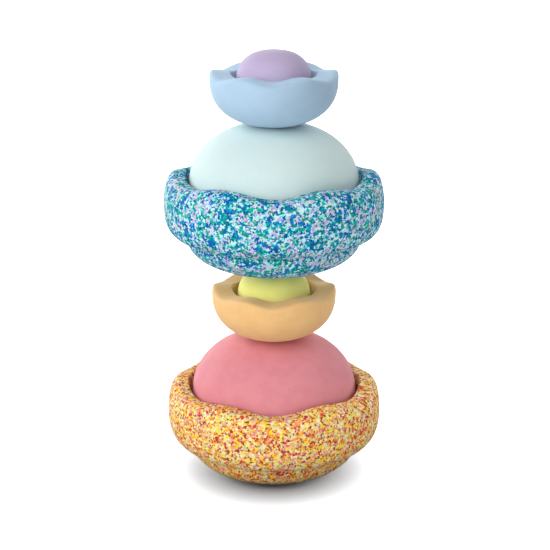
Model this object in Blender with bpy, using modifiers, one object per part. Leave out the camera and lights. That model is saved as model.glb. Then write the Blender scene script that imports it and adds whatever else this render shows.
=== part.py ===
# Stacking tower of eight loose moulded foam pieces: two equal nesting sets, one above the other.
#
# Each set has a large wavy bowl, a medium bowl turned over in it as a dome, a small wavy bowl on
# the dome, and a pebble, the smallest bowl, turned over in the small one. All are the same kind of
# body: a rounded bottom with a small flat, a side, a broad rim in six waves, and a cavity. It is
# turned from one profile, and then its rim is bent into waves.
#
# Frame: metres, +Z up, the tower's axis on Z, the flat that the tower stands on at Z = 0.
# The front is -Y, where the rim of every upright bowl has a low point.

import math

import bpy
import numpy as np

# ---- Driving dimensions, in metres ---------------------------------------------------------

ROUND_STEPS = 36             # faces around each piece
WAVES = 6                    # waves around each rim
TOUCH_GAP = 0.0003           # left between pieces that rest on each other
NEST_GAP = 0.0024            # from the side of a piece to the mouth that takes it

PEBBLE_RADIUS = 0.0468
PEBBLE_DOME_HEIGHT = 0.0440  # from the flat of the rounded bottom to the widest ring
PEBBLE_SIDE_HEIGHT = 0.0062  # from the widest ring to the middle of the rim's waves
PEBBLE_FLAT = 0.0120         # radius of the flat at the bottom
PEBBLE_WALL = 0.0238         # from the mouth to the widest ring
PEBBLE_FLOOR = 0.0240        # thickness under the cavity
PEBBLE_CORNER = 0.0045       # width of the rim's outer round
PEBBLE_WAVE_OUT = 0.0010     # half the height of a wave at the outer edge
PEBBLE_WAVE_IN = 0.0006      # and at the mouth
PEBBLE_WAVE_DEPTH = 0.0080   # how far below the rim the waves fade out

PEBBLE_PLAY = 0.0062         # the pebble has more room around it than the others
SMALL_DOME_HEIGHT = 0.0565
SMALL_SIDE_HEIGHT = 0.0075
SMALL_FLAT = 0.0260
SMALL_WALL = 0.0260
SMALL_FLOOR = 0.0200
SMALL_CORNER = 0.0080
SMALL_WAVE_OUT = 0.0033
SMALL_WAVE_IN = 0.0018
SMALL_WAVE_DEPTH = 0.0180

MEDIUM_DOME_HEIGHT = 0.0787
MEDIUM_SIDE_HEIGHT = 0.0134
MEDIUM_FLAT = 0.0280
MEDIUM_WALL = 0.0248
MEDIUM_FLOOR = 0.0250
MEDIUM_CORNER = 0.0080
MEDIUM_WAVE_OUT = 0.0030
MEDIUM_WAVE_IN = 0.0022
MEDIUM_WAVE_DEPTH = 0.0160

LARGE_DOME_HEIGHT = 0.0454   # from the flat to the step under the band
LARGE_BAND_WIDTH = 0.0271    # how far the band stands out over the step
LARGE_BAND_LOWER = 0.0393    # from the step to the band's widest ring
LARGE_BAND_UPPER = 0.0359    # from the widest ring to the middle of the rim's waves
LARGE_FLAT = 0.0350
LARGE_WALL = 0.0289
LARGE_FLOOR = 0.0270
LARGE_CORNER = 0.0189
LARGE_WAVE_OUT = 0.0040
LARGE_WAVE_IN = 0.0038
LARGE_WAVE_DEPTH = 0.0240

MOUTH_ROUND = 0.0030         # round at the edge of each mouth

# How full each curve is: 2 is an ellipse, and more is squarer
CAVITY_FULLNESS = 2.1
PEBBLE_FULLNESS = 2.6
SMALL_FULLNESS = 2.36
MEDIUM_FULLNESS = 2.17
LARGE_DOME_FULLNESS = 2.3
BAND_LOWER_FULLNESS = 2.7
BAND_UPPER_FULLNESS = 2.5
RIM_FULLNESS = 2.4

# Points along each curve of a profile
CAVITY_POINTS = 7
MOUTH_POINTS = 2
RIM_POINTS = 4
BAND_POINTS = 4
DOME_POINTS = 7

# Colours, linear RGB
WARM_CONFETTI = (0.84, 0.52, 0.20)
PINK = (0.76, 0.26, 0.31)
ORANGE = (0.83, 0.51, 0.22)
YELLOW = (0.66, 0.62, 0.15)
COOL_CONFETTI = (0.30, 0.52, 0.66)
MINT = (0.64, 0.80, 0.81)
BLUE = (0.41, 0.59, 0.76)
LILAC = (0.48, 0.41, 0.63)


# ---- Profiles --------------------------------------------------------------------------------

def curve(start, end, fullness, count):
    """Quarter of a superellipse that leaves start upright and arrives level at end: (r, z) points."""
    points = []
    for i in range(count + 1):
        turn = math.pi / 2 * i / count
        across = 1 - max(math.cos(turn), 0.0) ** (2 / fullness)
        along = math.sin(turn) ** (2 / fullness)
        points.append((start[0] + (end[0] - start[0]) * across,
                       start[1] + (end[1] - start[1]) * along))
    points[-1] = end
    return points


def dome(radius, height, flat, fullness):
    """Rounded bottom, from its upright top ring down to the flat, and in to the axis."""
    last = math.acos((flat / radius) ** (fullness / 2))
    deepest = math.sin(last) ** (2 / fullness)
    points = []
    for i in range(DOME_POINTS + 1):
        turn = last * i / DOME_POINTS
        points.append((radius * math.cos(turn) ** (2 / fullness),
                       height * (1 - math.sin(turn) ** (2 / fullness) / deepest)))
    points[-1] = (flat, 0.0)
    return points + [(0.0, 0.0)]


class Bowl:
    """One size of bowl: its outline, its cavity and its waves, upright with its flat at z = 0."""

    def __init__(self, mouth, wall, floor, corner, waves, wave_depth, side, bottom):
        self.mouth = mouth
        self.radius = mouth + wall
        self.height = side[-1]
        self.wave_out, self.wave_in = waves
        self.wave_depth = wave_depth
        edge = (self.mouth, self.height - MOUTH_ROUND)
        land_in = (self.mouth + MOUTH_ROUND, self.height)
        land_out = (self.radius - corner, self.height)
        self.cavity = curve(edge, (0.0, floor), CAVITY_FULLNESS, CAVITY_POINTS)[::-1]
        self.lip = curve(edge, land_in, 2, MOUTH_POINTS)[1:]
        upper = curve((self.radius, side[0]), land_out, side[1], RIM_POINTS)[::-1]
        self.outline = upper + bottom[1:]

    def profile(self):
        return self.cavity + self.lip + self.outline

    def wave(self, radius, height):
        """Half the height of a wave at a place on the bowl."""
        rise = min(max((height - self.height) / self.wave_depth + 1, 0.0), 1.0)
        outwards = min(max((radius - self.mouth) / (self.radius - self.mouth), 0.0), 1.0)
        fade = rise * rise * (3 - 2 * rise)
        return fade * (self.wave_in + (self.wave_out - self.wave_in) * outwards)

    def bent(self, points, side):
        """Points of the profile where a wave is highest, side 1, or lowest, side -1."""
        return [(r, z + side * self.wave(r, z)) for r, z in points]


def plain_bowl(radius, wall, floor, corner, waves, wave_depth, dome_height, side_height, flat,
               fullness):
    """A bowl whose side goes straight on from its rounded bottom."""
    bottom = dome(radius, dome_height, flat, fullness)
    side = (dome_height, RIM_FULLNESS, dome_height + side_height)
    return Bowl(radius - wall, wall, floor, corner, waves, wave_depth, side, bottom)


def banded_bowl(radius):
    """The large bowl: a bulging band stands out over its rounded bottom."""
    step = (radius - LARGE_BAND_WIDTH, LARGE_DOME_HEIGHT)
    widest = LARGE_DOME_HEIGHT + LARGE_BAND_LOWER
    under = curve((radius, widest), step, BAND_LOWER_FULLNESS, BAND_POINTS)
    bottom = under + dome(step[0], step[1], LARGE_FLAT, LARGE_DOME_FULLNESS)[1:]
    side = (widest, BAND_UPPER_FULLNESS, widest + LARGE_BAND_UPPER)
    return Bowl(radius - LARGE_WALL, LARGE_WALL, LARGE_FLOOR, LARGE_CORNER,
                (LARGE_WAVE_OUT, LARGE_WAVE_IN), LARGE_WAVE_DEPTH, side, bottom)


def seat(inner, outer):
    """Height of the flat of inner, turned over in the cavity of outer, above the flat of outer."""
    highest = 0.0
    for side in (1, -1):
        cavity = outer.bent(outer.cavity, side)
        radii = [r for r, z in cavity]
        heights = [z for r, z in cavity]
        for r, z in inner.bent(inner.outline, side):
            support = np.interp(r + TOUCH_GAP, radii, heights)
            highest = max(highest, z + support + TOUCH_GAP)
    return float(highest)


# ---- Objects ---------------------------------------------------------------------------------

def turned_mesh(name, bowl):
    """The bowl's profile, turned round Z with a Screw modifier, as a mesh."""
    line = bpy.data.meshes.new(name + "_profile")
    points = [(r, 0.0, z) for r, z in bowl.profile()]
    line.from_pydata(points, [(i, i + 1) for i in range(len(points) - 1)], [])
    spun = bpy.data.objects.new(name + "_profile", line)
    bpy.context.scene.collection.objects.link(spun)
    screw = spun.modifiers.new("turn", "SCREW")
    screw.axis = "Z"
    screw.steps = ROUND_STEPS
    screw.render_steps = ROUND_STEPS
    screw.use_merge_vertices = True
    screw.merge_threshold = 0.00001
    graph = bpy.context.evaluated_depsgraph_get()
    mesh = bpy.data.meshes.new_from_object(spun.evaluated_get(graph))
    bpy.data.objects.remove(spun)
    bpy.data.meshes.remove(line)
    return mesh


def wavy_mesh(name, bowl):
    """The turned bowl with its rim bent into waves, low at the front."""
    mesh = turned_mesh(name, bowl)
    mesh.name = name
    for vertex in mesh.vertices:
        x, y, z = vertex.co
        around = math.atan2(x, -y)
        vertex.co.z = z - bowl.wave(math.hypot(x, y), z) * math.cos(WAVES * around)
    mesh.shade_smooth()
    mesh.set_sharp_from_angle(angle=math.radians(50))
    return mesh


def foam(name, colour):
    material = bpy.data.materials.new(name)
    material.use_nodes = True
    shader = material.node_tree.nodes["Principled BSDF"]
    shader.inputs["Base Color"].default_value = (*colour, 1)
    shader.inputs["Roughness"].default_value = 0.8
    shader.inputs["Metallic"].default_value = 0.0
    return material


def place(name, bowl, height, turned_over, colour, base, collection):
    """One piece on its set's base, with its origin at its own flat, on the tower's axis."""
    piece = bpy.data.objects.new(name, wavy_mesh(name, bowl))
    piece.data.materials.append(foam(name + "_foam", colour))
    piece.parent = base
    piece.location.z = height
    if turned_over:
        piece.rotation_euler.x = math.pi
    collection.objects.link(piece)


def main():
    for old in list(bpy.data.objects):
        bpy.data.objects.remove(old)
    tower = bpy.data.collections.new("stacking_tower")
    bpy.context.scene.collection.children.link(tower)

    # Each mouth takes the next smaller piece, so the radii follow from the pebble outwards
    small_radius = PEBBLE_RADIUS + PEBBLE_PLAY + SMALL_WALL
    medium_radius = small_radius + NEST_GAP + MEDIUM_WALL
    large_radius = medium_radius + NEST_GAP + LARGE_WALL
    pebble = plain_bowl(PEBBLE_RADIUS, PEBBLE_WALL, PEBBLE_FLOOR, PEBBLE_CORNER,
                        (PEBBLE_WAVE_OUT, PEBBLE_WAVE_IN), PEBBLE_WAVE_DEPTH,
                        PEBBLE_DOME_HEIGHT, PEBBLE_SIDE_HEIGHT, PEBBLE_FLAT, PEBBLE_FULLNESS)
    small = plain_bowl(small_radius, SMALL_WALL, SMALL_FLOOR, SMALL_CORNER,
                       (SMALL_WAVE_OUT, SMALL_WAVE_IN), SMALL_WAVE_DEPTH,
                       SMALL_DOME_HEIGHT, SMALL_SIDE_HEIGHT, SMALL_FLAT, SMALL_FULLNESS)
    medium = plain_bowl(medium_radius, MEDIUM_WALL, MEDIUM_FLOOR, MEDIUM_CORNER,
                        (MEDIUM_WAVE_OUT, MEDIUM_WAVE_IN), MEDIUM_WAVE_DEPTH,
                        MEDIUM_DOME_HEIGHT, MEDIUM_SIDE_HEIGHT, MEDIUM_FLAT, MEDIUM_FULLNESS)
    large = banded_bowl(large_radius)

    # Heights above the flat of the set's large bowl
    dome_top = seat(medium, large)
    small_base = dome_top + TOUCH_GAP
    pebble_top = small_base + seat(pebble, small)
    set_height = pebble_top + TOUCH_GAP

    sets = (
        ("warm_set", 0.0, (("large_bowl_warm", WARM_CONFETTI), ("dome_pink", PINK),
                           ("small_bowl_orange", ORANGE), ("pebble_yellow", YELLOW))),
        ("cool_set", set_height, (("large_bowl_cool", COOL_CONFETTI), ("dome_mint", MINT),
                                  ("small_bowl_blue", BLUE), ("pebble_lilac", LILAC))),
    )
    stack = ((large, 0.0, False), (medium, dome_top, True), (small, small_base, False),
             (pebble, pebble_top, True))
    for set_name, set_base, pieces in sets:
        base = bpy.data.objects.new(set_name, None)
        base.location.z = set_base
        tower.objects.link(base)
        for (name, colour), (bowl, height, turned_over) in zip(pieces, stack):
            place(name, bowl, height, turned_over, colour, base, tower)


main()
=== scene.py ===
# Looks of the stacking tower: eight moulded foam pieces, their foam finishes and a small studio.
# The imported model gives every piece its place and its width.
import math

import bpy
import numpy as np
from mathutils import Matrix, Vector, noise


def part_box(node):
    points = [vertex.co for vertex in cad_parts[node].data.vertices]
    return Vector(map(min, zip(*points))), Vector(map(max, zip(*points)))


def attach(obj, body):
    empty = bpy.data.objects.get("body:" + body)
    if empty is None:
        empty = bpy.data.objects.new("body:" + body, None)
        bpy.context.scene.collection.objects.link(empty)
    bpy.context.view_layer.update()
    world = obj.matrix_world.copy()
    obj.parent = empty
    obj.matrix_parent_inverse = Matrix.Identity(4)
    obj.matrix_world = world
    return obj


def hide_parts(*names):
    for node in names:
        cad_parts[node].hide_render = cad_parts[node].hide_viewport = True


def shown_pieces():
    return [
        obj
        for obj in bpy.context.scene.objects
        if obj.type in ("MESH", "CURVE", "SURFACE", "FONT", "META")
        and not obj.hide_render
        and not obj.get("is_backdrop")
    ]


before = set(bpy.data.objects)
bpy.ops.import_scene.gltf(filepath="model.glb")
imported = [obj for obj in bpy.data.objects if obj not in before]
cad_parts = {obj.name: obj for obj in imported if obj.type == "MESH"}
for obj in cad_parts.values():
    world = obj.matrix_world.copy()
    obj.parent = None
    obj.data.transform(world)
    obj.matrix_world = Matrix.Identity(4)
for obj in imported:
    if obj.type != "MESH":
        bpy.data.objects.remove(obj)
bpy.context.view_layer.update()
print("frame loaded:", len(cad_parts), "CAD pieces")


# Every piece is one bowl, turned from a profile, with a wavy rim. Metres: wall is from the
# widest place in to the mouth, and corner is the round outside the rim. A fullness of 2 is an
# ellipse, and more is squarer.
pebbleShape = {
    "wall": 0.0238, "floor": 0.0240, "corner": 0.0045, "flat": 0.0120,
    "domeHeight": 0.0440, "sideHeight": 0.0062, "domeFullness": 2.6, "rimFullness": 2.4,
    "waveOut": 0.0010, "waveIn": 0.0006, "waveDepth": 0.0080,
}
smallShape = {
    "wall": 0.0260, "floor": 0.0200, "corner": 0.0080, "flat": 0.0260,
    "domeHeight": 0.0565, "sideHeight": 0.0069, "domeFullness": 2.36, "rimFullness": 2.7,
    "waveOut": 0.0033, "waveIn": 0.0018, "waveDepth": 0.0180,
}
mediumShape = {
    "wall": 0.0248, "floor": 0.0250, "corner": 0.0080, "flat": 0.0280,
    "domeHeight": 0.0787, "sideHeight": 0.0134, "domeFullness": 2.17, "rimFullness": 2.4,
    "waveOut": 0.0030, "waveIn": 0.0022, "waveDepth": 0.0160,
}
largeShape = {
    "wall": 0.0289, "floor": 0.0270, "corner": 0.0189, "flat": 0.0350,
    "domeHeight": 0.0454, "sideHeight": 0.0359, "domeFullness": 2.3, "rimFullness": 2.5,
    "waveOut": 0.0040, "waveIn": 0.0038, "waveDepth": 0.0240,
    "bandWidth": 0.0271, "bandLower": 0.0393, "bandFullness": 2.7, "mouthFlare": 0.0020,
}
surface = {
    "waves": 6,              # around every rim
    "mouthRound": 0.0016,    # round at the edge of a mouth
    "flareDepth": 0.020,     # the large cavities widen over this depth below the rim
    "cavityFullness": 2.1,
    "facesAround": 360,
    "step": 0.0018,          # between rings of the mesh
    "curvePoints": 600,      # on each curve before it is divided evenly
    "unevenSize": 0.030,     # of the soft waviness that moulded foam has
    "unevenDepth": 0.00022,
    "unevenFade": 0.010,     # height over which the flat at the bottom passes into it
    "unevenShift": 90,       # gives pieces of different width different waviness
    "sharpAngle": 50,        # degrees; softer edges are shaded smooth
}


def eased(share):
    # 0 to 1 with a soft start and end
    return share ** 2 * (3 - 2 * share)


def quarter(start, end, fullness):
    # leaves start upright and arrives level at end
    turn = np.linspace(0, math.pi / 2, surface["curvePoints"])
    across = 1 - np.clip(np.cos(turn), 0, 1) ** (2 / fullness)
    along = np.sin(turn) ** (2 / fullness)
    points = np.stack([start[0] + (end[0] - start[0]) * across,
                       start[1] + (end[1] - start[1]) * along], axis=1)
    points[-1] = end
    return points


def roundedBottom(radius, height, flat, fullness):
    # from the upright top ring down to the edge of the flat
    last = math.acos((flat / radius) ** (fullness / 2))
    deepest = math.sin(last) ** (2 / fullness)
    turn = np.linspace(0, last, surface["curvePoints"])
    points = np.stack([radius * np.cos(turn) ** (2 / fullness),
                       height * (1 - np.sin(turn) ** (2 / fullness) / deepest)], axis=1)
    points[-1] = (flat, 0)
    return points


def divided(points):
    # the same curve with evenly spaced points
    lengths = np.hypot(*np.diff(points, axis=0).T)
    along = np.concatenate([[0], np.cumsum(lengths)])
    count = max(3, math.ceil(along[-1] / surface["step"]))
    marks = np.linspace(0, along[-1], count + 1)
    return np.stack([np.interp(marks, along, points[:, i]) for i in (0, 1)], axis=1)


def bowlProfile(shape, radius):
    # from the axis up the cavity, over the rim, down the outside and in to the axis
    widest = shape["domeHeight"] + shape.get("bandLower", 0)
    rim = widest + shape["sideHeight"]
    mouth = radius - shape["wall"]
    widening = shape.get("mouthFlare", 0)
    opening = mouth + widening
    mouthEdge = (opening, rim - surface["mouthRound"])
    landIn = (opening + surface["mouthRound"], rim)
    cavity = quarter((mouth, mouthEdge[1]), (0, shape["floor"]), surface["cavityFullness"])[::-1]
    flare = np.clip((cavity[:, 1] - mouthEdge[1]) / surface["flareDepth"] + 1, 0, 1)
    cavity[:, 0] += widening * eased(flare)
    landOut = (radius - shape["corner"], rim)
    curves = [
        cavity,
        quarter(mouthEdge, landIn, 2),
        np.array([landIn, landOut]),
        quarter((radius, widest), landOut, shape["rimFullness"])[::-1],
    ]
    stepRadius = radius - shape.get("bandWidth", 0)
    if "bandWidth" in shape:
        curves.append(quarter((radius, widest), (stepRadius, shape["domeHeight"]),
                              shape["bandFullness"]))
    curves.append(roundedBottom(stepRadius, shape["domeHeight"], shape["flat"],
                                shape["domeFullness"]))
    curves.append(np.array([(shape["flat"], 0), (0, 0)]))
    parts = [divided(curve) for curve in curves]
    return np.concatenate([parts[0]] + [part[1:] for part in parts[1:]]), mouth, rim


def waveHeight(shape, radius, mouth, rim, r, z):
    # half the height of a wave at each place of the profile
    rise = np.clip((z - rim) / shape["waveDepth"] + 1, 0, 1)
    outness = np.clip((r - mouth) / (radius - mouth), 0, 1)
    fullHeight = shape["waveIn"] + (shape["waveOut"] - shape["waveIn"]) * outness
    return eased(rise) * fullHeight


def bowlMesh(name, shape, radius):
    profile, mouth, rim = bowlProfile(shape, radius)
    r, z = profile.T
    slope = np.gradient(profile, axis=0)
    outward = np.stack([-slope[:, 1], slope[:, 0]], axis=1)
    outward /= np.linalg.norm(outward, axis=1)[:, None]
    wave = waveHeight(shape, radius, mouth, rim, r, z)
    sinking = surface["unevenDepth"] * np.clip(z / surface["unevenFade"], 0, 1)

    count = surface["facesAround"]
    around = np.arange(count) * 2 * math.pi / count
    ripple = np.cos(surface["waves"] * around)
    shift = Vector((radius * surface["unevenShift"], 0, 0))
    points = []
    for i in range(len(r)):
        onAxis = i in (0, len(r) - 1)
        for k in range(1 if onAxis else count):
            side = (math.sin(around[k]), -math.cos(around[k]))
            spot = Vector((r[i] * side[0], r[i] * side[1], z[i] - wave[i] * ripple[k]))
            soft = noise.noise(spot / surface["unevenSize"] + shift)
            sink = sinking[i] * (0.5 + 0.5 * soft)
            spot.x -= outward[i][0] * side[0] * sink
            spot.y -= outward[i][0] * side[1] * sink
            spot.z -= outward[i][1] * sink
            points.append(spot)
    last = len(points) - 1
    rings = len(r) - 2
    lastRing = last - count
    faces = []
    for k in range(count):
        beside = (k + 1) % count
        faces.append((0, 1 + k, 1 + beside))
        faces.append((last, lastRing + beside, lastRing + k))
        for i in range(rings - 1):
            low = 1 + i * count
            high = low + count
            faces.append((low + k, high + k, high + beside, low + beside))
    mesh = bpy.data.meshes.new(name)
    mesh.from_pydata(points, [], faces)
    mesh.validate()
    mesh.shade_smooth()
    mesh.set_sharp_from_angle(angle=math.radians(surface["sharpAngle"]))
    return mesh


class Wire:
    # one output of a material's nodes, used in sums; add() makes any other node
    def __init__(self, tree, socket=None):
        self.tree = tree
        self.socket = socket

    def add(self, kind, settings, values, output=0):
        node = self.tree.nodes.new(kind)
        for name, value in settings.items():
            if name == "stops":
                fillRamp(node.color_ramp, value)
            else:
                setattr(node, name, value)
        for name, value in values.items():
            if isinstance(value, Wire):
                self.tree.links.new(value.socket, node.inputs[name])
            else:
                node.inputs[name].default_value = value
        return Wire(self.tree, node.outputs[output])

    def output(self, name):
        # another output of the same node
        return Wire(self.tree, self.socket.node.outputs[name])

    def sum(self, operation, first, second):
        return self.add("ShaderNodeMath", {"operation": operation}, {0: first, 1: second})

    def __add__(self, other):
        return self.sum("ADD", self, other)

    def __radd__(self, other):
        return self.sum("ADD", other, self)

    def __sub__(self, other):
        return self.sum("SUBTRACT", self, other)

    def __rsub__(self, other):
        return self.sum("SUBTRACT", other, self)

    def __mul__(self, other):
        return self.sum("MULTIPLY", self, other)

    def __rmul__(self, other):
        return self.sum("MULTIPLY", other, self)

    def __lt__(self, other):
        return self.sum("LESS_THAN", self, other)


def fillRamp(ramp, stops):
    # stops are (place, colour) in order, and a share of a finish lasts until the next stop
    ramp.interpolation = "CONSTANT"
    while len(ramp.elements) < len(stops):
        ramp.elements.new(1.0)
    for element, (place, colour) in zip(ramp.elements, stops):
        element.position = place
        element.color = (*colour, 1)


def newMaterial(name):
    material = bpy.data.materials.new(name)
    material.use_nodes = True
    return material, material.node_tree.nodes["Principled BSDF"]


def place(wires, shift):
    # object coordinates in metres, moved so that no two pieces share a pattern
    spot = wires.add("ShaderNodeTexCoord", {}, {}, "Object")
    return wires.add("ShaderNodeVectorMath", {"operation": "ADD"}, {0: spot, 1: shift})


def cloud(wires, spot, size, detail, output="Fac"):
    # soft noise; size is in metres, detail is how many finer layers it has
    return wires.add("ShaderNodeTexNoise", {},
                     {"Vector": spot, "Scale": 1 / size, "Detail": detail}, output)


def scaled(wires, vector, factor):
    # a vector or a colour, made larger or darker as a whole
    return wires.add("ShaderNodeVectorMath", {"operation": "SCALE"}, {0: vector, "Scale": factor})


def faded(wires, value, start, end, low=0.0, high=1.0):
    # low up to start and high from end on, with a soft change between
    return wires.add("ShaderNodeMapRange", {"interpolation_type": "SMOOTHSTEP"},
                     {"Value": value, "From Min": start, "From Max": end,
                      "To Min": low, "To Max": high})


def bent(wires, spot, size, reach):
    # the same place pushed about by soft noise, so that straight cell walls turn ragged
    push = cloud(wires, spot, size, 2.0, "Color")
    push = wires.add("ShaderNodeVectorMath", {"operation": "SUBTRACT"},
                     {0: push, 1: (0.5, 0.5, 0.5)})
    push = scaled(wires, push, reach)
    return wires.add("ShaderNodeVectorMath", {"operation": "ADD"}, {0: spot, 1: push})


def blended(wires, share, first, second):
    return wires.add("ShaderNodeMix", {"data_type": "RGBA"}, {0: share, 6: first, 7: second}, 2)


def finished(wires, shader, colour, roughness, heights):
    # heights are (wire, depth in metres), each with its own Bump node
    normal = None
    for height, depth in heights:
        values = {"Height": height, "Distance": depth}
        if normal:
            values["Normal"] = normal
        normal = wires.add("ShaderNodeBump", {}, values)
    wires.tree.links.new(colour.socket, shader.inputs["Base Color"])
    wires.tree.links.new(roughness.socket, shader.inputs["Roughness"])
    wires.tree.links.new(normal.socket, shader.inputs["Normal"])


# Confetti foam: crumbs of many colours pressed together.
warmConfetti = {
    "shift": (0.3, 0.1, 0.7),    # moves the pattern, so that each piece has its own part of it
    "patches": 0.5,              # how much the mix of colours drifts from place to place
    "crumbSize": 0.0033,
    "crumbs": [                  # share of the crumbs, colour
        (0.22, (0.88, 0.77, 0.42)),    # cream
        (0.11, (0.70, 0.74, 0.22)),    # yellow green
        (0.19, (0.96, 0.66, 0.03)),    # bright yellow
        (0.12, (0.83, 0.42, 0.23)),    # peach
        (0.14, (0.89, 0.28, 0.03)),    # orange
        (0.10, (0.77, 0.31, 0.36)),    # pink
        (0.12, (0.70, 0.06, 0.04)),    # red
    ],
    "specks": [
        (0.30, (0.90, 0.76, 0.36)),    # cream
        (0.16, (0.88, 0.30, 0.04)),    # orange
        (0.54, (0.34, 0.03, 0.02)),    # dark red
    ],
}
coolConfetti = {
    "shift": (0.9, 0.4, 0.2),
    "patches": 1.4,
    "crumbSize": 0.0037,
    "crumbs": [
        (0.08, (0.64, 0.50, 0.70)),    # pale pink
        (0.13, (0.40, 0.45, 0.76)),    # lilac
        (0.18, (0.52, 0.78, 0.82)),    # white
        (0.08, (0.24, 0.76, 0.74)),    # pale cyan
        (0.22, (0.00, 0.38, 0.27)),    # teal
        (0.06, (0.00, 0.52, 0.52)),    # turquoise
        (0.18, (0.00, 0.18, 0.60)),    # blue
        (0.07, (0.00, 0.08, 0.32)),    # deep blue
    ],
    "specks": [
        (0.28, (0.60, 0.80, 0.88)),    # white
        (0.38, (0.00, 0.22, 0.15)),    # dark green
        (0.34, (0.00, 0.09, 0.38)),    # dark blue
    ],
}
confettiGrain = {
    "patchSize": 0.020,
    "bendSize": 0.0022,      # of the ragged edges of the crumbs
    "bendReach": 0.0040,
    "speckSize": 0.0021,
    "speckShare": 0.30,
    "darkest": 0.86,         # each crumb has its own shade from here up
    "shadeRange": 0.22,
    "jointWidth": 0.12,      # of the groove between crumbs, as a share of their size
    "jointDepth": 0.00012,
    "grainSize": 0.0007,
    "grainDepth": 0.00004,
    "roughness": 0.66,
    "grainRoughness": 0.16,
    "jointRoughness": 0.06,
    "shine": 0.12,
}


def shares(crumbs):
    # where each colour starts on a ramp from 0 to 1
    stops = []
    start = 0.0
    for share, colour in crumbs:
        stops.append((start, colour))
        start += share
    return stops


def confettiFoam(name, look):
    grain = confettiGrain
    material, shader = newMaterial(name)
    wires = Wire(material.node_tree)
    spot = place(wires, look["shift"])
    ragged = bent(wires, spot, grain["bendSize"], grain["bendReach"])

    def cells(size, where):
        # two even random values for each cell
        cell = wires.add("ShaderNodeTexVoronoi", {}, {"Vector": where, "Scale": 1 / size}, "Color")
        draws = wires.add("ShaderNodeSeparateColor", {}, {0: cell}, "Red")
        return draws, draws.output("Green")

    draw, tone = cells(look["crumbSize"], ragged)
    patch = cloud(wires, spot, grain["patchSize"], 1.0)
    draw = draw + look["patches"] * (patch - 0.5)
    colour = wires.add("ShaderNodeValToRGB", {"stops": shares(look["crumbs"])}, {"Fac": draw})
    speckDraw, speckPick = cells(grain["speckSize"], ragged)
    speck = wires.add("ShaderNodeValToRGB", {"stops": shares(look["specks"])}, {"Fac": speckPick})
    colour = blended(wires, speckDraw < grain["speckShare"], colour, speck)
    colour = scaled(wires, colour, grain["darkest"] + grain["shadeRange"] * tone)

    walls = wires.add("ShaderNodeTexVoronoi", {"feature": "DISTANCE_TO_EDGE"},
                      {"Vector": ragged, "Scale": 1 / look["crumbSize"]}, "Distance")
    crumb = faded(wires, walls, 0.0, grain["jointWidth"])    # 0 in a groove, 1 on a crumb
    fine = cloud(wires, spot, grain["grainSize"], 3.0)
    roughness = (grain["roughness"] + grain["grainRoughness"] * (fine - 0.5)
                 + grain["jointRoughness"] * (1 - crumb))
    finished(wires, shader, colour, roughness,
             [(crumb, grain["jointDepth"]), (fine, grain["grainDepth"])])
    shader.inputs["Specular IOR Level"].default_value = grain["shine"]
    return material


# Plain foam: one colour with a soft skin.
plainGrain = {
    "mottleSize": 0.016,
    "mottleShare": 0.70,     # of the second colour, where it is strongest
    "mottleStart": 0.38,     # the noise that brings it in, from here
    "mottleEnd": 0.66,
    "beadSize": 0.0030,
    "beadDepth": 0.00003,
    "grainSize": 0.0008,
    "grainDepth": 0.00005,
    "darkest": 0.97,
    "grainShade": 0.06,
    "roughness": 0.80,
    "grainRoughness": 0.14,
    "sheen": 0.12,
    "shine": 0.25,
}
nickMarks = {
    "size": 0.022,                 # one nick at most in each stretch of this size
    "stretch": (1.0, 1.0, 0.22),   # nicks are upright
    "middle": 0.035,               # as shares of the size: where it is at full depth,
    "edge": 0.080,                 # and where it ends
    "bendSize": 0.004,
    "bendReach": 0.0025,
    "depth": 0.0003,
    "darkness": 0.13,
}
plainColours = {
    "foam_pink": {
        "colour": (0.668, 0.238, 0.270), "mottle": (0.634, 0.208, 0.246),
        "shift": (0.1, 0.2, 0.3), "nickShare": 0.5,
    },
    "foam_orange": {
        "colour": (0.755, 0.480, 0.202), "mottle": (0.726, 0.438, 0.180),
        "shift": (0.4, 0.3, 0.2), "nickShare": 0.6,
    },
    "foam_yellow": {
        "colour": (0.890, 0.860, 0.260), "mottle": (0.850, 0.820, 0.230),
        "shift": (0.6, 0.8, 0.1), "nickShare": 0.3,
    },
    "foam_mint": {
        "colour": (0.580, 0.715, 0.708), "mottle": (0.560, 0.700, 0.698),
        "shift": (0.2, 0.7, 0.5), "nickShare": 0.1,
    },
    "foam_blue": {
        "colour": (0.400, 0.560, 0.715), "mottle": (0.380, 0.535, 0.690),
        "shift": (0.8, 0.2, 0.9), "nickShare": 0.6,
    },
    "foam_lilac": {
        "colour": (0.475, 0.402, 0.590), "mottle": (0.498, 0.392, 0.570),
        "shift": (0.5, 0.5, 0.4), "nickShare": 0.3,
    },
}


def nicks(wires, spot, share):
    # 1 in the middle of a small upright nick, 0 elsewhere; share is how many stretches have one
    upright = wires.add("ShaderNodeVectorMath", {"operation": "MULTIPLY"},
                        {0: spot, 1: nickMarks["stretch"]})
    ragged = bent(wires, upright, nickMarks["bendSize"], nickMarks["bendReach"])
    cell = wires.add("ShaderNodeTexVoronoi", {}, {"Vector": ragged, "Scale": 1 / nickMarks["size"]},
                     "Distance")
    draw = wires.add("ShaderNodeSeparateColor", {}, {0: cell.output("Color")}, "Blue")
    inside = faded(wires, cell, nickMarks["middle"], nickMarks["edge"], 1.0, 0.0)
    return inside * (draw < share)


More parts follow.
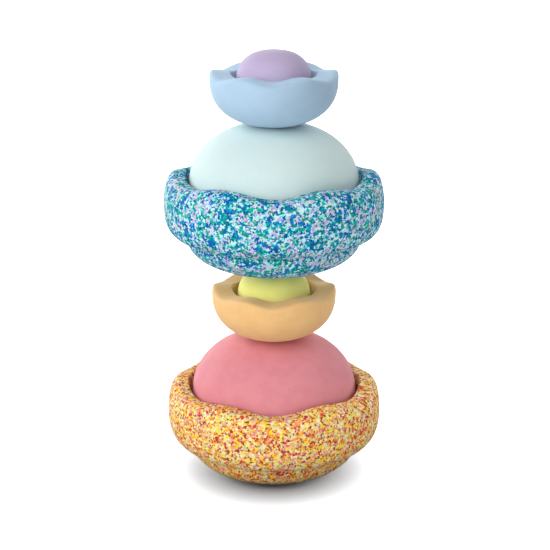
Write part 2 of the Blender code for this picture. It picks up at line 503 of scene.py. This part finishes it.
def plainFoam(name, look):
    grain = plainGrain
    material, shader = newMaterial(name)
    wires = Wire(material.node_tree)
    spot = place(wires, look["shift"])
    soft = cloud(wires, spot, grain["mottleSize"], 4.0)
    share = faded(wires, soft, grain["mottleStart"], grain["mottleEnd"], 0.0, grain["mottleShare"])
    colour = blended(wires, share, (*look["colour"], 1), (*look["mottle"], 1))
    fine = cloud(wires, spot, grain["grainSize"], 4.0)
    beads = wires.add("ShaderNodeTexVoronoi", {"feature": "SMOOTH_F1"},
                      {"Vector": spot, "Scale": 1 / grain["beadSize"]}, "Distance")
    nicked = nicks(wires, spot, look["nickShare"])
    shade = grain["darkest"] + grain["grainShade"] * fine - nickMarks["darkness"] * nicked
    colour = scaled(wires, colour, shade)
    roughness = grain["roughness"] + grain["grainRoughness"] * (fine - 0.5)
    finished(wires, shader, colour, roughness,
             [(1 - beads, grain["beadDepth"]), (fine, grain["grainDepth"]),
              (1 - nicked, nickMarks["depth"])])
    shader.inputs["Sheen Weight"].default_value = grain["sheen"]
    shader.inputs["Specular IOR Level"].default_value = grain["shine"]
    return material


# The tower, from the floor up.
tower = [
    # node, body, slot, shape, turned over
    ("large_bowl_warm", "warm_bowl", "confetti_warm", largeShape, False),
    ("dome_pink", "pink_dome", "foam_pink", mediumShape, True),
    ("small_bowl_orange", "orange_bowl", "foam_orange", smallShape, False),
    ("pebble_yellow", "yellow_pebble", "foam_yellow", pebbleShape, True),
    ("large_bowl_cool", "cool_bowl", "confetti_cool", largeShape, False),
    ("dome_mint", "mint_dome", "foam_mint", mediumShape, True),
    ("small_bowl_blue", "blue_bowl", "foam_blue", smallShape, False),
    ("pebble_lilac", "lilac_pebble", "foam_lilac", pebbleShape, True),
]
confettiLooks = {"confetti_warm": warmConfetti, "confetti_cool": coolConfetti}


def buildPiece(node, body, slot, shape, turnedOver):
    low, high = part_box(node)
    radius = (high.x - low.x) / 2
    mesh = bowlMesh(node + "_foam", shape, radius)
    if turnedOver:
        for vertex in mesh.vertices:
            vertex.co.y = -vertex.co.y
            vertex.co.z = high.z - vertex.co.z
    else:
        for vertex in mesh.vertices:
            vertex.co.z += low.z
    piece = bpy.data.objects.new(node + "_foam", mesh)
    bpy.context.scene.collection.objects.link(piece)
    if slot in confettiLooks:
        mesh.materials.append(confettiFoam(slot, confettiLooks[slot]))
    else:
        mesh.materials.append(plainFoam(slot, plainColours[slot]))
    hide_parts(node)
    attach(piece, body)
    print("piece built:", piece.name, len(mesh.polygons), "faces")


for row in tower:
    buildPiece(*row)


# A light is degrees round the tower from the front, degrees above level, softness in degrees
# and strength.
studio = {
    "floorSize": 24.0,
    "floorColour": (0.345, 0.350, 0.356),
    "floorLight": (180, 62, 172, 7.1),    # from above and a little behind, on the floor only
    "cardColour": (0.80, 0.80, 0.80),
    "cardLight": (0, 89.9, 140, 1.00),    # on the two cards only
    "cardDrop": 0.0002,      # how far the wide card lies under the floor, the foot card half as far
    "footSize": 0.46,        # the card right under the tower, darker as painted shade: it sends less light up at the foot
    "footColour": (0.27, 0.27, 0.27),
    "paperRoughness": 0.9,
    "surround": 0.02,        # light of the surroundings on the tower
    "lights": {
        "key": (-47, 24, 60, 0.63),
        "keyTop": (-40, 35, 60, 0.30),
        "front": (-5, 24, 60, 0.11),
        "backLeft": (-145, 8, 40, 0.95),
        "backRight": (150, 20, 40, 0.45),
        "top": (-20, 75, 80, 0.05),
    },
    "rightSide": (75, 36, 60, 0.21),      # on all but the blue bowl
    "blueBowl": "small_bowl_blue_foam",
    "blueRight": (125, 52, 50, 0.26),     # on the blue bowl instead
    "orangeBowl": "small_bowl_orange_foam",
    "orangeGlow": (0, 75, 80, 0.24),      # on the orange bowl, through the pieces above it
    "glowColour": (1.0, 0.50, 0.25),
}
sideBox = {
    "place": (0.58, -0.30, 0.08),
    "aim": (0.10, 0.0, 0.06),
    "size": 0.30,
    "power": 0.70,
}
view = {
    "place": (0.0013, -1.7414, 0.8167),
    "down": 17.632,       # degrees below level
    "lens": 94.27,        # on a 36 mm wide sensor
    "sensor": 36.0,
}


def litGroup(name, objects):
    group = bpy.data.collections.new(name)
    for one in objects:
        group.objects.link(one)
    return group


def softLight(name, around, above, softness, strength, lit):
    # a far soft light that falls only on the objects in lit
    lamp = bpy.data.lights.new(name, "SUN")
    lamp.angle = math.radians(softness)
    lamp.energy = strength * math.pi
    light = bpy.data.objects.new(name, lamp)
    turn = math.radians(around)
    rise = math.radians(above)
    towards = Vector((math.sin(turn) * math.cos(rise), -math.cos(turn) * math.cos(rise),
                      math.sin(rise)))
    light.rotation_euler = towards.to_track_quat("Z", "Y").to_euler()
    light.light_linking.receiver_collection = lit
    bpy.context.scene.collection.objects.link(light)
    return light


def buildSideBox(lit):
    # a small softbox low on the right, out of the camera's sight
    lamp = bpy.data.lights.new("side_box", "AREA")
    lamp.shape = "SQUARE"
    lamp.size = sideBox["size"]
    lamp.energy = sideBox["power"]
    light = bpy.data.objects.new("side_box", lamp)
    light.location = sideBox["place"]
    aim = Vector(sideBox["aim"]) - light.location
    light.rotation_euler = aim.to_track_quat("-Z", "Y").to_euler()
    light.visible_camera = False
    light.light_linking.receiver_collection = lit
    bpy.context.scene.collection.objects.link(light)


def buildSheet(name, size, height, colour):
    half = size / 2
    mesh = bpy.data.meshes.new(name)
    corners = [(-half, -half, height), (half, -half, height), (half, half, height),
               (-half, half, height)]
    mesh.from_pydata(corners, [], [(0, 1, 2, 3)])
    sheet = bpy.data.objects.new(name, mesh)
    bpy.context.scene.collection.objects.link(sheet)
    material, shader = newMaterial(name + "_paper")
    shader.inputs["Base Color"].default_value = (*colour, 1)
    shader.inputs["Roughness"].default_value = studio["paperRoughness"]
    shader.inputs["Specular IOR Level"].default_value = 0.0
    mesh.materials.append(material)
    sheet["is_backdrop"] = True
    return sheet


def buildFloor():
    # the floor is there for the camera alone, and two cards just under it throw soft light
    # up at the tower
    size = studio["floorSize"]
    floor = buildSheet("floor", size, 0, studio["floorColour"])
    floor.visible_diffuse = False
    floor.visible_glossy = False
    floor.visible_shadow = False
    card = buildSheet("bounce_card", size, -studio["cardDrop"], studio["cardColour"])
    card.visible_camera = False
    # painted shade: the foot card is darker than the wide card, so less light bounces up at the
    # foot of the tower
    foot = buildSheet("foot_card", studio["footSize"], -studio["cardDrop"] / 2,
                      studio["footColour"])
    foot.visible_camera = False
    softLight("floor_light", *studio["floorLight"], litGroup("lit_floor", [floor]))
    softLight("card_light", *studio["cardLight"], litGroup("lit_card", [card, foot]))


def buildLights():
    onTower = litGroup("lit_tower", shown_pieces())
    buildSideBox(onTower)
    blue = [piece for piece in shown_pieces() if piece.name == studio["blueBowl"]]
    orange = [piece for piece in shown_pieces() if piece.name == studio["orangeBowl"]]
    others = [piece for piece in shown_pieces() if piece not in blue]
    softLight("right_side", *studio["rightSide"], litGroup("lit_others", others))
    softLight("blue_right", *studio["blueRight"], litGroup("lit_blue", blue))
    onOrange = litGroup("lit_orange", orange)
    glow = softLight("orange_glow", *studio["orangeGlow"], onOrange)
    glow.data.color = studio["glowColour"]
    glow.light_linking.blocker_collection = onOrange
    for name, light in studio["lights"].items():
        softLight(name, *light, onTower)


def buildWorld():
    # white where the camera sees past the floor, and faint as a light
    world = bpy.data.worlds.new("studio")
    world.use_nodes = True
    wires = Wire(world.node_tree)
    seen = wires.add("ShaderNodeLightPath", {}, {}, "Is Camera Ray")
    background = world.node_tree.nodes["Background"]
    background.inputs["Color"].default_value = (1, 1, 1, 1)
    strength = studio["surround"] + (1 - studio["surround"]) * seen
    world.node_tree.links.new(strength.socket, background.inputs["Strength"])
    bpy.context.scene.world = world
    bpy.context.scene.view_settings.view_transform = "Standard"


def buildCamera():
    lens = bpy.data.cameras.new("camera")
    lens.sensor_width = view["sensor"]
    lens.lens = view["lens"]
    camera = bpy.data.objects.new("camera", lens)
    camera.location = view["place"]
    camera.rotation_euler = (math.radians(90 - view["down"]), 0, 0)
    bpy.context.scene.collection.objects.link(camera)
    bpy.context.scene.camera = camera


buildFloor()
buildLights()
buildWorld()
buildCamera()
print("studio built")
